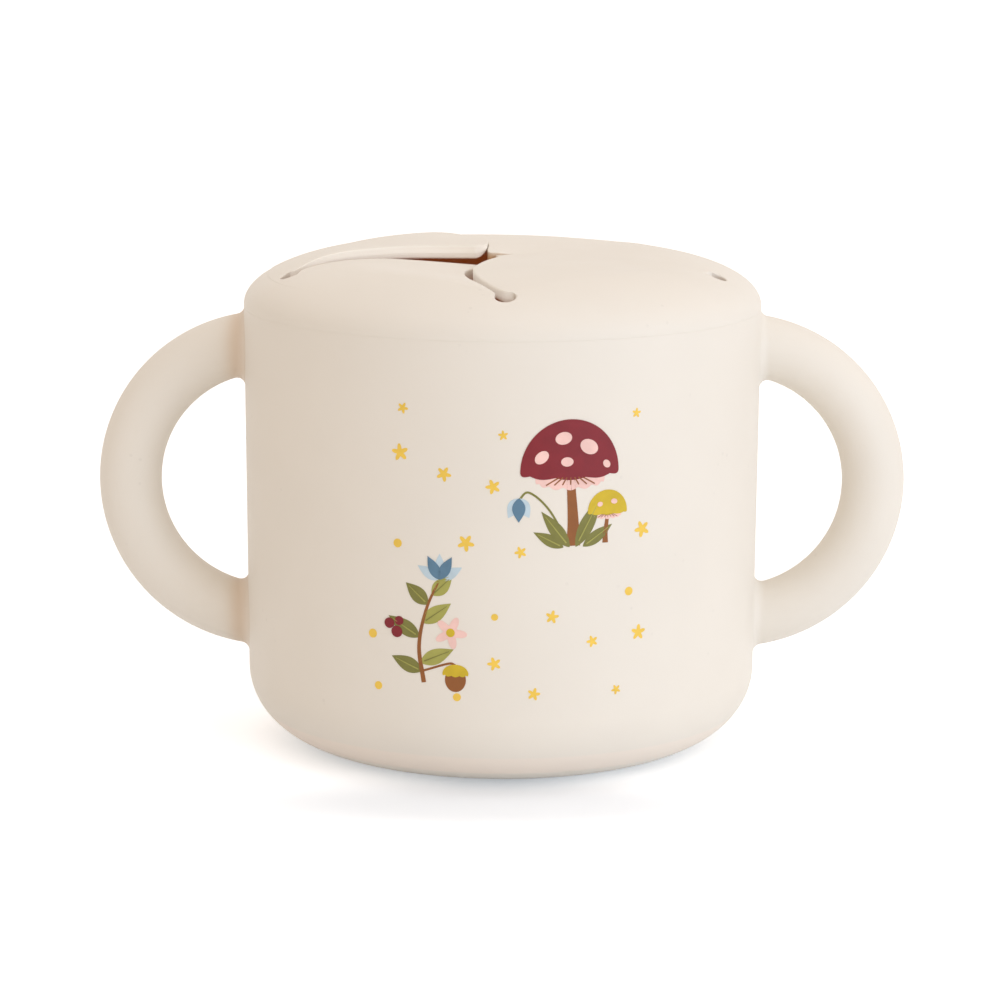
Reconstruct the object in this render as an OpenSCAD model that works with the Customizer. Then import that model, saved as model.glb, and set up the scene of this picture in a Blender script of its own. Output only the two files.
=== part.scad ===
// Toddler snack cup: a soft two-handled cup with a plug-in lid.
// Five curved slits divide the middle of the lid into five flaps.
// Millimetres. The origin is the centre of the base, +Z is up,
// the front is -Y and the handles stand along +X and -X.

/* [Cup] */
// Outer radius of the cup at its rim
rim_r = 43.5; // [42:0.1:45]
// Height of the rim, on which the lid sits
rim_z = 74.3; // [74:0.1:78]
// Thickness of the side wall
wall = 2.4; // [2.3:0.1:2.6]
// How much the outer radius shrinks from the rim to the bottom round
draft = 0.4; // [0:0.1:0.8]
// Thickness of the floor
floor_t = 3; // [2.5:0.1:4]
// Width of the bottom round
round_w = 15; // [10:0.5:18]
// Height of the bottom round
round_h = 12.7; // [9:0.1:15]
// Radius of the shallow hollow under the base
hollow_r = 22; // [12:0.5:24]
// Depth of the shallow hollow under the base
hollow_d = 0.6; // [0.3:0.1:1]

/* [Handles] */
// Radius of the ring that the middle of the grip follows
ring_r = 23.5; // [21:0.1:24]
// Radius of the round grip
grip_r = 5.25; // [4:0.05:6]
// Distance of the ring's centre from the cup's axis
ring_x = 39.6; // [38.5:0.1:40.5]
// Height of the ring's centre
ring_z = 44.2; // [41:0.1:45]
// Radius of the fillet between grip and cup, on the finger side
root_r = 1.9; // [1.2:0.1:3]

/* [Lid] */
// Height of the lid's straight edge above the rim
edge_h = 0.35; // [0.25:0.05:1]
// Rise of the dome above the straight edge
dome_h = 8.95; // [8:0.05:10]
// How flat the dome is: a higher power is flatter in the middle
dome_power = 3.8; // [3.4:0.1:4.2]
// Thickness of the lid's sheet at its middle
sheet_t = 2.25; // [2:0.05:2.6]
// Depth of the plug skirt below the rim
skirt_h = 9; // [8.5:0.5:10]
// Thickness of the plug skirt
skirt_t = 1.6; // [1.4:0.1:1.7]
// Play between the skirt and the mouth of the cup
skirt_gap = 0.35; // [0.25:0.05:0.4]
// Play between the sealing ribs and the mouth of the cup
rib_gap = 0.08; // [0.05:0.01:0.15]
// Number of sealing ribs
rib_count = 3; // [2:1:3]

/* [Slits and flaps] */
// Radius of the circle on which the slit-end holes lie
slit_r = 37.2; // [35:0.1:37.3]
// Radius of a slit-end hole
hole_r = 1.7; // [1.4:0.1:1.7]
// Width of a slit
slit_w = 1.2; // [0.8:0.1:1.5]
// How far a slit bows sideways
slit_bow = 5.4; // [4:0.1:6]
// Radius of a flap's rounded tip
tip_r = 1.5; // [1:0.1:3]
// Radius of the round end on which a flap turns
hinge_r = 3.2; // [3.1:0.05:3.4]
// Play around that round end
hinge_gap = 0.25; // [0.2:0.05:0.3]
// Downward tilt of the front left flap at rest, in degrees
front_left_sag = 5.5; // [0:0.5:8]
// Upward tilt of the back left flap at rest, in degrees
back_left_lift = 1.2; // [0:0.1:2]

/* [Hidden] */

cream = "#EEE4D8";
cream_deep = "#E6DACB";
cream_pale = "#F3EBE1";

edge_break = 0.2;                  // broken corners at the seam
mouth_lead = 0.5;                  // lead-in chamfer of the mouth
mouth_spare = 1.5;                 // straight mouth below the skirt
rib_top = 1.8;                     // first sealing rib below the rim
rib_h = 1.2;                       // height of a sealing rib
rib_land = 0.3;                    // share of a rib's height that is straight
rib_pitch = 2.4;                   // spacing of the sealing ribs
skirt_lead = 0.6;                  // outer chamfer at the foot of the skirt
skirt_break = 0.4;                 // inner chamfer at the foot of the skirt
root_play = 0.05;                  // the handles end this far below the seam
flap_play = 0.3;                   // play around the edge of a flap
hinge_rise = 0.25;                 // hinge line above the middle of the sheet
groove_in = 0.66;                  // how far the hinge grooves run into the holes
past = 1;                          // how far a cutting shape runs past a face
round_steps = 10;                  // cone bands on a round
dome_steps = 14;                   // cone bands on the dome

foot_r = rim_r - draft;            // outer radius above the bottom round
flat_r = foot_r - round_w;         // outer radius of the flat base
mouth_r = rim_r - wall;            // inner radius of the mouth
skirt_r = mouth_r - skirt_gap;     // outer radius of the skirt
rib_r = mouth_r - rib_gap;         // outer radius of the ribs
skirt_in_r = skirt_r - skirt_t;    // inner radius of the skirt
edge_z = rim_z + edge_h;           // where the dome starts
foot_z = rim_z - skirt_h;          // foot of the skirt
under_h = dome_h - sheet_t;        // rise of the underside
flap_r = skirt_in_r - flap_play;   // the flaps stay inside the skirt
root_top = max(0.3, rim_z - ring_z - ring_r - grip_r - root_play);

flap_count = 5;
half_turn = 180 / flap_count;      // half the angle between two slits
chord_x = slit_r * cos(half_turn); // distance of a hinge line from the cup's axis
chord_half = slit_r * sin(half_turn);
groove_end = chord_half - groove_in * hole_r;
strip_end = groove_end - flap_play;
bow_r = (pow(slit_r / 2, 2) + pow(slit_bow, 2)) / (2 * slit_bow);
hinge_z = (dome_z(slit_r) + under_z(slit_r)) / 2 + hinge_rise;

// Height of the dome's outside at radius r
function dome_z(r) = edge_z + dome_h * sqrt(max(0, 1 - pow(r / rim_r, dome_power)));

// Height of the dome's underside at radius r: it drops more suddenly, into the skirt
function under_z(r) = edge_z + under_h * pow(max(0, 1 - pow(r / skirt_in_r, dome_power)), 1 / 3);

// Quarter ellipse between the angles from and to, as [r, z] points
function quarter(cr, cz, a, b, from, to) =
    [for (i = [0:round_steps]) let (t = from + (to - from) * i / round_steps)
        [cr + a * cos(t), cz + b * sin(t)]];

// Middle of the circle that the slit at the angle a follows
function bow_centre(a) = [slit_r / 2 * cos(a) - (bow_r - slit_bow) * sin(a),
                          slit_r / 2 * sin(a) + (bow_r - slit_bow) * cos(a)];

// The crossing, nearer the cup's axis, of two circles
function crossing(p, rp, q, rq) =
    let (d = norm(q - p), e = (q - p) / d, along = (d * d + rp * rp - rq * rq) / (2 * d),
         across = sqrt(rp * rp - along * along), n = [-e[1], e[0]],
         s = p + along * e + across * n, t = p + along * e - across * n)
    norm(s) < norm(t) ? s : t;

function heading(v) = atan2(v[1], v[0]);

// Points of a circle about c from the angle from to the angle to
function sweep_arc(c, r, from, to, steps) =
    [for (i = [0:steps]) let (t = from + (to - from) * i / steps) c + r * [cos(t), sin(t)]];

// Bowl of the cup, with a hollow under its base and a straight mouth
module cup_outside() {
    rotate_extrude()
        polygon(concat([[0, 0]],
                       quarter(flat_r, round_h, round_w, round_h, -90, 0),
                       [[rim_r, rim_z - edge_break], [rim_r - edge_break, rim_z], [0, rim_z]]));
}

module cup() {
    color(cream)
        rotate_extrude()
            polygon(concat([[0, hollow_d], [hollow_r - 2 * hollow_d, hollow_d], [hollow_r, 0]],
                           quarter(flat_r, round_h, round_w, round_h, -90, 0),
                           [[rim_r, rim_z - edge_break], [rim_r - edge_break, rim_z],
                            [mouth_r + mouth_lead, rim_z], [mouth_r, rim_z - mouth_lead],
                            [mouth_r, rim_z - skirt_h - mouth_spare]],
                           quarter(flat_r, round_h, round_w - wall, round_h - floor_t, 0, -90),
                           [[0, floor_t]]));
}

// A grip of round section follows a ring and flares into the cup at both ends
grip_sides = 24;
mid_steps = 20;
root_steps = 15;
root_from = 68;
root_to = 86;

function grip_angles() = concat(
    [for (i = [0:root_steps - 1]) -root_to + (root_to - root_from) * i / root_steps],
    [for (i = [0:mid_steps]) -root_from + 2 * root_from * i / mid_steps],
    [for (i = [1:root_steps]) root_from + (root_to - root_from) * i / root_steps]);

// Radius of the fillet at the angle t round the grip: the outer side ends just below the lid
function root(t) = root_top + (root_r - root_top) * (1 - cos(t)) / 2;

// What the fillet of radius f adds to the grip at the distance s from the cup's wall
function flare(s, f) = s >= f ? 0 : f - sqrt(pow(f, 2) - pow(f - max(s, 0), 2));

function grip_point(a, t, r) = [ring_x + (ring_r + r * cos(t)) * cos(a), r * sin(t),
                                ring_z + (ring_r + r * cos(t)) * sin(a)];

function grip_skin(a, t) =
    let (p = grip_point(a, t, grip_r), wall_r = rim_r - draft * (rim_z - p[2]) / (rim_z - round_h))
    grip_point(a, t, grip_r + flare(norm([p[0], p[1]]) - wall_r, root(t)));

module grip() {
    angles = grip_angles();
    last = len(angles) - 1;
    difference() {
        polyhedron(
            points = [for (a = angles) for (i = [0:grip_sides - 1]) grip_skin(a, 360 * i / grip_sides)],
            faces = concat(
                [[for (i = [0:grip_sides - 1]) i]],
                [[for (i = [grip_sides - 1:-1:0]) last * grip_sides + i]],
                [for (j = [0:last - 1]) for (i = [0:grip_sides - 1])
                    let (k = (i + 1) % grip_sides, n = j * grip_sides)
                    for (f = [[n + i, n + i + grip_sides, n + k],
                              [n + k, n + i + grip_sides, n + k + grip_sides]]) f]));
        cup_outside();
    }
}

module handle_right() { color(cream_pale) grip(); }
module handle_left() { color(cream_deep) mirror([1, 0, 0]) grip(); }

// Domed lid with its plug skirt, before the flaps are cut out of it
rib_list = [for (i = [0:rib_count - 1])
    let (z = rim_z - rib_top - rib_pitch * i, slope = (1 - rib_land) / 2 * rib_h)
    for (p = [[skirt_r, z], [rib_r, z - slope], [rib_r, z - rib_h + slope], [skirt_r, z - rib_h]]) p];

module lid_blank() {
    rotate_extrude()
        polygon(concat([for (i = [0:dome_steps]) let (r = rim_r * sin(90 * i / dome_steps)) [r, dome_z(r)]],
                       [[rim_r, rim_z + edge_break], [rim_r - edge_break, rim_z], [skirt_r, rim_z]],
                       rib_list,
                       [[skirt_r, foot_z + skirt_lead], [skirt_r - skirt_lead, foot_z],
                        [skirt_in_r + skirt_break, foot_z], [skirt_in_r, foot_z + skirt_break]],
                       [for (i = [dome_steps:-1:0])
                           let (r = skirt_in_r * sin(90 * i / dome_steps)) [r, under_z(r)]]));
}

module slit_holes() {
    for (i = [0:flap_count - 1])
        rotate([0, 0, -90 + 2 * half_turn * i])
            translate([slit_r, 0, rim_z])
                cylinder(h = 2 * dome_h, r = hole_r, $fn = 48);
}

// Round bar on the hinge line at +X, of the given radius and half length
module hinge_bar(r, half) {
    translate([chord_x, half, hinge_z])
        rotate([90, 0, 0])
            cylinder(h = 2 * half, r = r, $fn = 64);
}

module lid_ring() {
    color(cream)
        difference() {
            lid_blank();
            translate([0, 0, rim_z])
                linear_extrude(height = 2 * dome_h)
                    polygon([for (i = [0:flap_count - 1]) let (a = -90 + 2 * half_turn * i)
                        [slit_r * cos(a), slit_r * sin(a)]]);
            for (i = [0:flap_count - 1])
                rotate([0, 0, -90 + half_turn + 2 * half_turn * i])
                    hinge_bar(hinge_r + hinge_gap, groove_end);
            slit_holes();
        }
}

// Outline of the flap whose middle points along +X: a bowed edge on each side,
// a rounded tip near the cup's axis and a straight strip beyond the hinge line
function flap_outline() =
    let (near = bow_centre(-half_turn), far = bow_centre(half_turn),
         near_r = bow_r - slit_w / 2, far_r = bow_r + slit_w / 2,
         tip = crossing(near, near_r - tip_r, far, far_r + tip_r),
         near_from = heading([chord_x, -sqrt(pow(near_r, 2) - pow(chord_x - near[0], 2)) + near[1]] - near),
         far_from = heading([chord_x, -sqrt(pow(far_r, 2) - pow(chord_x - far[0], 2)) + far[1]] - far),
         near_to = heading(tip - near), far_to = heading(tip - far))
    concat([[chord_x + hinge_r + past, -strip_end], [chord_x + hinge_r + past, strip_end], [chord_x, strip_end]],
           sweep_arc(far, far_r, far_from, far_to, 16),
           sweep_arc(tip, tip_r, far_to + 180, near_to + 360, 8),
           sweep_arc(near, near_r, near_to, near_from, 16),
           [[chord_x, -strip_end]]);

module flap(direction, sag) {
    rotate([0, 0, direction])
        translate([chord_x, 0, hinge_z])
            rotate([0, -sag, 0])
                translate([-chord_x, 0, -hinge_z])
                    difference() {
                        intersection() {
                            lid_blank();
                            translate([0, 0, rim_z])
                                linear_extrude(height = 2 * dome_h) polygon(flap_outline());
                            translate([0, 0, rim_z]) cylinder(h = 2 * dome_h, r = flap_r, $fn = 96);
                            union() {
                                translate([chord_x - slit_r * 2, -slit_r, rim_z])
                                    cube([slit_r * 2, slit_r * 2, dome_h * 2]);
                                hinge_bar(hinge_r, strip_end);
                            }
                        }
                        rotate([0, 0, -direction]) slit_holes();
                    }
}

module flap_front_left() { color(cream_deep) flap(-90 - half_turn, front_left_sag); }
module flap_front_right() { color(cream_pale) flap(-90 + half_turn, 0); }
module flap_right() { color(cream_deep) flap(-90 + 3 * half_turn, 0); }
module flap_back() { color(cream) flap(-90 + 5 * half_turn, 0); }
module flap_back_left() { color(cream_pale) flap(-90 - 3 * half_turn, -back_left_lift); }

cup();
handle_left();
handle_right();
lid_ring();
flap_front_left();
flap_front_right();
flap_right();
flap_back();
flap_back_left();
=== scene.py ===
import math

import bpy
import numpy as np
from mathutils import Matrix, Vector


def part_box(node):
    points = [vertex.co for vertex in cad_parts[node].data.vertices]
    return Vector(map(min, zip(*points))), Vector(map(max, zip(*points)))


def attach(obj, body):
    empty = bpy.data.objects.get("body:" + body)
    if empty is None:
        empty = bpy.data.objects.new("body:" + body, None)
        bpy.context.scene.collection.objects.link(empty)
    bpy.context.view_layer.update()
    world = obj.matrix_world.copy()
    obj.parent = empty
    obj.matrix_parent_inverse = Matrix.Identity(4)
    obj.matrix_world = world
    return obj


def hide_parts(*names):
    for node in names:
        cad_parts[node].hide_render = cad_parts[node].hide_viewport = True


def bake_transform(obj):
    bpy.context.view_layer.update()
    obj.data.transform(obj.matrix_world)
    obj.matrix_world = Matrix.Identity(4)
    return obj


# A toddler's snack cup in soft silicone: two round handles, a domed lid and five bending flaps.
# Lengths are in millimetres in the settings, and a mesh is made in metres.

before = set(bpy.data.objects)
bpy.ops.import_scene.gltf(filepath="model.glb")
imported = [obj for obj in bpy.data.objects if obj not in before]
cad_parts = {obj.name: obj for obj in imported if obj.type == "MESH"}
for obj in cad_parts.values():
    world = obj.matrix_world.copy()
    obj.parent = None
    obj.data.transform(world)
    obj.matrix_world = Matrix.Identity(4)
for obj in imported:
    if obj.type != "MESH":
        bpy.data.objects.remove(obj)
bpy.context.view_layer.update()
millimetre = 0.001
print("frame loaded:", len(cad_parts), "nodes")


# Camera, light and floor

def addObject(name, data):
    made = bpy.data.objects.new(name, data)
    bpy.context.scene.collection.objects.link(made)
    return made


cameraPlace = {
    "place": (0.0, -588.79, 155.69),
    "pitch": 0.1929,      # radians below the horizon
    "turn": -0.0005,      # radians about +Z
    "roll": 0.0044,
    "lens": 126.79,       # on a 36 mm sensor
    "sensor": 36.0,
}


def makeCamera(place):
    # The view direction falls by the pitch, and right and up are turned about it by the roll
    p, y, r = place["pitch"], place["turn"], place["roll"]
    ahead = Vector((math.sin(y) * math.cos(p), math.cos(y) * math.cos(p), -math.sin(p)))
    right = Vector((math.cos(y), -math.sin(y), 0))
    up = right.cross(ahead)
    rightRolled = math.cos(r) * right + math.sin(r) * up
    upRolled = math.cos(r) * up - math.sin(r) * right
    data = bpy.data.cameras.new("camera")
    data.lens, data.sensor_width = place["lens"], place["sensor"]
    camera = addObject("camera", data)
    turned = Matrix((rightRolled, upRolled, -ahead)).transposed().to_4x4()
    camera.matrix_world = Matrix.Translation(Vector(place["place"]) * millimetre) @ turned
    bpy.context.scene.camera = camera


# Power in watts
lights = {
    "key": {"place": (600, -760, 180), "size": (500, 400), "power": 1.9, "colour": (0.6, 0.775, 1.0)},
    "high": {"place": (500, -600, 520), "size": (500, 500), "power": 0.6, "colour": (0.6, 0.775, 1.0)},
    "side": {"place": (850, -350, 120), "size": (400, 300), "power": 0.8, "colour": (0.6, 0.775, 1.0)},
    "top": {"place": (0, 0, 800), "size": (700, 700), "power": 1.2, "colour": (0.69, 0.8, 0.95)},
}
lightAim = (0, 0, 40)
# The room's light is a little stronger from the right than from the left
worldLook = {"colour": (1.0, 0.863, 0.747), "left": 0.70, "right": 1.01}
# The floor glows for direct views only, and less in a patch in front of the cup: painted shadow that deepens
# and lengthens the contact shadow there
floorLook = {
    "size": 9000,
    "colour": (0.905, 0.93, 0.955),
    "paintedShadowGlow": (0.10, 0.13, 0.16),     # light of its own near the point below, which lights nothing else
    "glowFar": (0.42, 0.43, 0.44),      # and elsewhere
    "glowReach": (0.005, 0.02),         # metres from the point, between which the one runs into the other
    "glowPoint": (0, -0.046, 0),        # metres, on the floor in front of the cup, after the stretch
    "glowStretch": (0.3, 1, 1),         # the reach is longer along x
}


def makeLight(name, settings):
    data = bpy.data.lights.new(name, "AREA")
    data.shape = "RECTANGLE"
    data.size, data.size_y = settings["size"][0] * millimetre, settings["size"][1] * millimetre
    data.energy, data.color = settings["power"], settings["colour"]
    lamp = addObject(name, data)
    lamp.location = Vector(settings["place"]) * millimetre
    aim = Vector(lightAim) * millimetre - lamp.location
    lamp.rotation_euler = aim.to_track_quat("-Z", "Y").to_euler()


def setInputs(node, inputs):
    # Each input takes a value, or the output of another node
    for name, value in inputs.items():
        if isinstance(value, bpy.types.NodeSocket):
            node.id_data.links.new(value, node.inputs[name])
        else:
            node.inputs[name].default_value = value


def addNode(tree, kind, inputs, **settings):
    node = tree.nodes.new("ShaderNode" + kind)
    for name, value in settings.items():
        setattr(node, name, value)
    setInputs(node, inputs)
    return node


def newMaterial(name):
    material = bpy.data.materials.new(name)
    material.use_nodes = True
    return material, material.node_tree


def seenDirectly(tree):
    # One for rays from the camera, in reflections and through glass, and zero for light that falls
    path = addNode(tree, "LightPath", {}).outputs
    total = addNode(tree, "Math", {0: path["Is Camera Ray"], 1: path["Is Glossy Ray"]}, operation="ADD")
    whole = {0: total.outputs[0], 1: path["Is Transmission Ray"]}
    return addNode(tree, "Math", whole, operation="ADD", use_clamp=True).outputs[0]


def makeWorld(look):
    world = bpy.data.worlds.new("studio")
    world.use_nodes = True
    tree = world.node_tree
    tree.nodes.clear()
    way = addNode(tree, "SeparateXYZ", {0: addNode(tree, "TexCoord", {}).outputs["Generated"]})
    side = addNode(tree, "MapRange", {"Value": way.outputs["X"], "From Min": -1,
                                      "To Min": look["left"], "To Max": look["right"]})
    fill = addNode(tree, "Background", {"Color": (*look["colour"], 1), "Strength": side.outputs["Result"]})
    white = addNode(tree, "Background", {"Color": (1, 1, 1, 1)})
    mix = addNode(tree, "MixShader", {"Fac": seenDirectly(tree), 1: fill.outputs[0], 2: white.outputs[0]})
    addNode(tree, "OutputWorld", {"Surface": mix.outputs[0]})
    bpy.context.scene.world = world


def makeFloor(look):
    half = look["size"] * millimetre / 2
    mesh = bpy.data.meshes.new("floor")
    corners = [(-half, -half, 0), (half, -half, 0), (half, half, 0), (-half, half, 0)]
    mesh.from_pydata(corners, [], [(0, 1, 2, 3)])
    floor = addObject("floor", mesh)
    material, tree = newMaterial("floorPaper")
    tree.nodes.clear()
    paper = addNode(tree, "BsdfDiffuse", {"Color": (*look["colour"], 1)})
    # Painted shadow: the glow is weaker near the point in front of the cup
    where = addNode(tree, "TexCoord", {}).outputs["Object"]
    stretched = addNode(tree, "VectorMath", {0: where, 1: look["glowStretch"]}, operation="MULTIPLY")
    away = addNode(tree, "VectorMath", {0: stretched.outputs[0], 1: look["glowPoint"]}, operation="DISTANCE")
    near, far = look["glowReach"]
    spread = addNode(tree, "MapRange", {"Value": away.outputs["Value"], "From Min": near, "From Max": far},
                     interpolation_type="SMOOTHSTEP")
    tint = addNode(tree, "Mix", {"Factor": spread.outputs["Result"], "A": (*look["paintedShadowGlow"], 1),
                                 "B": (*look["glowFar"], 1)}, data_type="RGBA")
    glow = addNode(tree, "Emission", {"Color": tint.outputs["Result"], "Strength": seenDirectly(tree)})
    both = addNode(tree, "AddShader", {0: paper.outputs[0], 1: glow.outputs[0]})
    addNode(tree, "OutputMaterial", {"Surface": both.outputs[0]})
    mesh.materials.append(material)


bpy.context.scene.view_settings.view_transform = "Standard"
makeCamera(cameraPlace)
for name, settings in lights.items():
    makeLight(name, settings)
makeWorld(worldLook)
makeFloor(floorLook)
print("camera, lights and floor made")


# Surfaces

def smoothStep(x):
    x = np.clip(x, 0, 1)
    return x * x * (3 - 2 * x)


def between(a, b, share):
    return a + (b - a) * share


def line(start, end, count):
    # Points from start to end, the end left out
    share = np.arange(count)[:, None] / count
    return between(np.array(start, float), np.array(end, float), share)


def arc(centre, radii, start, end, count):
    # Points of an ellipse from one angle to another, in degrees, the last point left out
    t = np.radians(between(start, end, np.arange(count) / count))
    return np.stack([centre[0] + radii[0] * np.cos(t), centre[1] + radii[1] * np.sin(t)], axis=1)


def loft(rows, firstPole=None, lastPole=None, closed=False):
    # Rows of points joined by quads. Each row closes on itself, a pole closes the first or
    # the last row with a fan, and closed joins the last row to the first
    count, width = rows.shape[:2]
    i, j = np.meshgrid(np.arange(count if closed else count - 1), np.arange(width), indexing="ij")
    i, j = i.ravel(), j.ravel()
    k, n = (i + 1) % count, (j + 1) % width
    quads = np.stack([i * width + j, i * width + n, k * width + n, k * width + j], axis=1)
    points, fans, c = rows.reshape(-1, 3), [], np.arange(width)
    for pole, row in ((firstPole, 0), (lastPole, count - 1)):
        if pole is not None:
            ring = row * width + c
            after = row * width + (c + 1) % width
            pair = (after, ring) if row == 0 else (ring, after)
            fans.append(np.stack([*pair, np.full(width, len(points))], axis=1))
            points = np.vstack([points, pole])
    return outward(points, quads, np.vstack(fans) if fans else np.zeros((0, 3), int))


def outward(points, quads, fans):
    # The enclosed volume is the sum of the tetrahedra under the faces, and a negative one is turned
    triangles = np.vstack([quads[:, :3], quads[:, [0, 2, 3]], fans])
    a, b, c = (points[triangles[:, n]] for n in range(3))
    if np.einsum("ij,ij->i", a, np.cross(b, c)).sum() < 0:
        quads, fans = quads[:, ::-1], fans[:, ::-1]
    return points, quads, fans


sharpAbove = 50     # degrees between two faces


def makePiece(name, shells, material, **shares):
    # One object from one or more closed shells. Each share is an attribute of the points: an array, or a
    # function of their positions
    points, faces, offset = [], [], 0
    for p, quads, fans in shells:
        points.append(p * millimetre)
        faces += (quads + offset).tolist() + (fans + offset).tolist()
        offset += len(p)
    mesh = bpy.data.meshes.new(name)
    mesh.from_pydata(np.vstack(points).tolist(), [], faces)
    mesh.polygons.foreach_set("use_smooth", np.ones(len(faces), bool))
    mesh.set_sharp_from_angle(angle=math.radians(sharpAbove))
    mesh.materials.append(material)
    for share, values in shares.items():
        if callable(values):
            values = values(np.vstack([p for p, quads, fans in shells]))
        mesh.attributes.new(share, "FLOAT", "POINT").data.foreach_set("value", values)
    return addObject(name, mesh)


# Silicone

siliconeLook = {
    "roughness": 0.55,
    "roughnessChange": 0.04,
    "roughnessFineness": 3,      # times the scale of the mottling
    "specular": 0.35,
    "sheen": 0.08,
    "sheenRoughness": 0.5,
    "noiseRange": (0.3, 0.7),    # the noise between these two values is used
    "mottleScale": 45.0,         # cycles in a metre
    "mottleAmount": 0.012,
    "grainScale": 2600.0,
    "grainHeight": 0.00001,      # metres
    "speckScale": 520.0,
    "speckAmount": 0.05,
    "speckRim": (0.10, 0.20),    # of the cell's size
    "speckPatch": 0.21,          # the specks lie where a noise of this share of their scale is high
    "speckRare": (0.66, 0.70),
    # Painted warm glow in the emission: it stands in for light that comes through the wall
    "paintedSoakGlow": (1.0, 0.19, 0.025),      # colour of the light that comes through the wall
    "paintedSoakStrength": 0.034,
    # Painted pale glow in the emission on cut edges: it stands in for light that soaks along the sheet
    "paintedEdgeGlow": (1.0, 0.97, 0.92),    # light that soaks along the sheet and leaves it at a cut edge
    "paintedEdgeStrength": 0.17,
    # Painted shade: the colour is multiplied by this where cut edges face each other closely, and at the left
    # handle's roots
    "paintedShadeTint": (0.7, 0.4, 0.15),      # what is left of the colour where cut edges face each other closely
}


def siliconeMaterial(name, colour, look):
    # Soft matte silicone: faint cloudy mottling, sparse specks of dust and a fine satin grain. A painted warm
    # glow in the emission, by the attribute "inside", stands in for light that soaks through the wall. The
    # attribute "edge" is above zero for a painted pale glow where light would leave a cut edge, and below
    # zero for painted shade where two edges shade each other
    material, tree = newMaterial(name)
    where = addNode(tree, "TexCoord", {}).outputs["Object"]

    def noise(scale, detail):
        return addNode(tree, "TexNoise", {"Scale": scale, "Detail": detail, "Vector": where}).outputs["Fac"]

    def spread(value, low, high, least, most):
        return addNode(tree, "MapRange", {"Value": value, "From Min": low, "From Max": high,
                                          "To Min": least, "To Max": most}).outputs["Result"]

    def share(name, low, high, least, most):
        attribute = addNode(tree, "Attribute", {}, attribute_name=name)
        return spread(attribute.outputs["Fac"], low, high, least, most)

    def scaled(colour, amount):
        return addNode(tree, "VectorMath", {0: colour, "Scale": amount}, operation="SCALE").outputs[0]

    def multiplied(factor, a, b):
        return addNode(tree, "Mix", {"Factor": factor, "A": a, "B": b},
                       data_type="RGBA", blend_type="MULTIPLY").outputs["Result"]

    amount, rough, change = look["mottleAmount"], look["roughness"], look["roughnessChange"]
    cloud = spread(noise(look["mottleScale"], 3), *look["noiseRange"], 1 - amount, 1 + amount)
    satin = spread(noise(look["mottleScale"] * look["roughnessFineness"], 2), *look["noiseRange"],
                   rough - change, rough + change)
    dust = addNode(tree, "TexVoronoi", {"Scale": look["speckScale"], "Vector": where})
    rare = spread(noise(look["speckScale"] * look["speckPatch"], 1), *look["speckRare"], 0, 1)
    dot = spread(dust.outputs["Distance"], *look["speckRim"], 1, 0)
    speck = addNode(tree, "Math", {0: rare, 1: dot}, operation="MULTIPLY").outputs[0]
    shade = addNode(tree, "Math", {0: speck, 1: -look["speckAmount"], 2: cloud}, operation="MULTIPLY_ADD")
    tint = multiplied(1, (*colour, 1), shade.outputs[0])
    grain = addNode(tree, "Bump", {"Distance": look["grainHeight"], "Height": noise(look["grainScale"], 4)})
    # Painted glows in the emission, not lamps: warm inside the wall and pale on cut edges
    warm = scaled(look["paintedSoakGlow"], share("inside", 0, 1, 0, look["paintedSoakStrength"]))
    pale = scaled(look["paintedEdgeGlow"], share("edge", 0, 1, 0, look["paintedEdgeStrength"]))
    setInputs(tree.nodes["Principled BSDF"], {
        # Painted shade darkens the base colour where the attribute "edge" is below zero
        "Base Color": multiplied(share("edge", -1, 0, 1, 0), tint, (*look["paintedShadeTint"], 1)),
        "Roughness": satin,
        "Normal": grain.outputs["Normal"],
        "Specular IOR Level": look["specular"],
        "Sheen Weight": look["sheen"],
        "Sheen Roughness": look["sheenRoughness"],
        "Emission Color": addNode(tree, "VectorMath", {0: warm, 1: pale}, operation="ADD").outputs[0],
        "Emission Strength": 1,
    })
    material.cycles.emission_sampling = "NONE"
    return material


cream = (0.795, 0.752, 0.675)
cupSilicone = siliconeMaterial("cupSilicone", cream, siliconeLook)
lidSilicone = siliconeMaterial("lidSilicone", cream, siliconeLook)


# Cup

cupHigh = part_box("cup")[1] / millimetre
cupShape = {
    "rimRadius": round(cupHigh.x, 2),
    "rimHeight": round(cupHigh.z, 2),
    "wall": 2.4,
    "draft": 0.4,
    "floor": 3.0,
    "roundWidth": 15.0,
    "roundHeight": 12.7,
    "hollowRadius": 22.0,
    "hollowDepth": 0.6,
    "hollowLip": 1.5,
    "rimBreak": 0.04,
    "mouthLead": 0.5,
    "mouthDepth": 10.5,
    "poleGaps": (0.5, 0.4),       # radius of the profile's two ends, under the foot and on the floor
    "glowMargins": (0.3, 0.2),    # how far into the wall and into the floor the glow reaches
    "columns": 420,
    "points": {"hollow": 24, "lip": 8, "foot": 6, "round": 40, "wall": 50, "break": 4, "rim": 3, "lead": 3,
               "mouth": 8, "inner": 30, "innerRound": 24, "floor": 20},
}


def wallRadius(z):
    # Outer radius of the cup's straight wall at a height
    low, high = cupShape["roundHeight"], cupShape["rimHeight"]
    return cupShape["rimRadius"] - cupShape["draft"] * (high - z) / (high - low)


def revolve(profile, columns):
    # Each point (r, z) of the profile is carried round the axis: x = r cos a, y = r sin a
    a = np.arange(columns) * 2 * np.pi / columns
    r, z = profile[:, 0, None], profile[:, 1, None]
    return np.stack([r * np.cos(a), r * np.sin(a), z + 0 * a], axis=-1)


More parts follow.
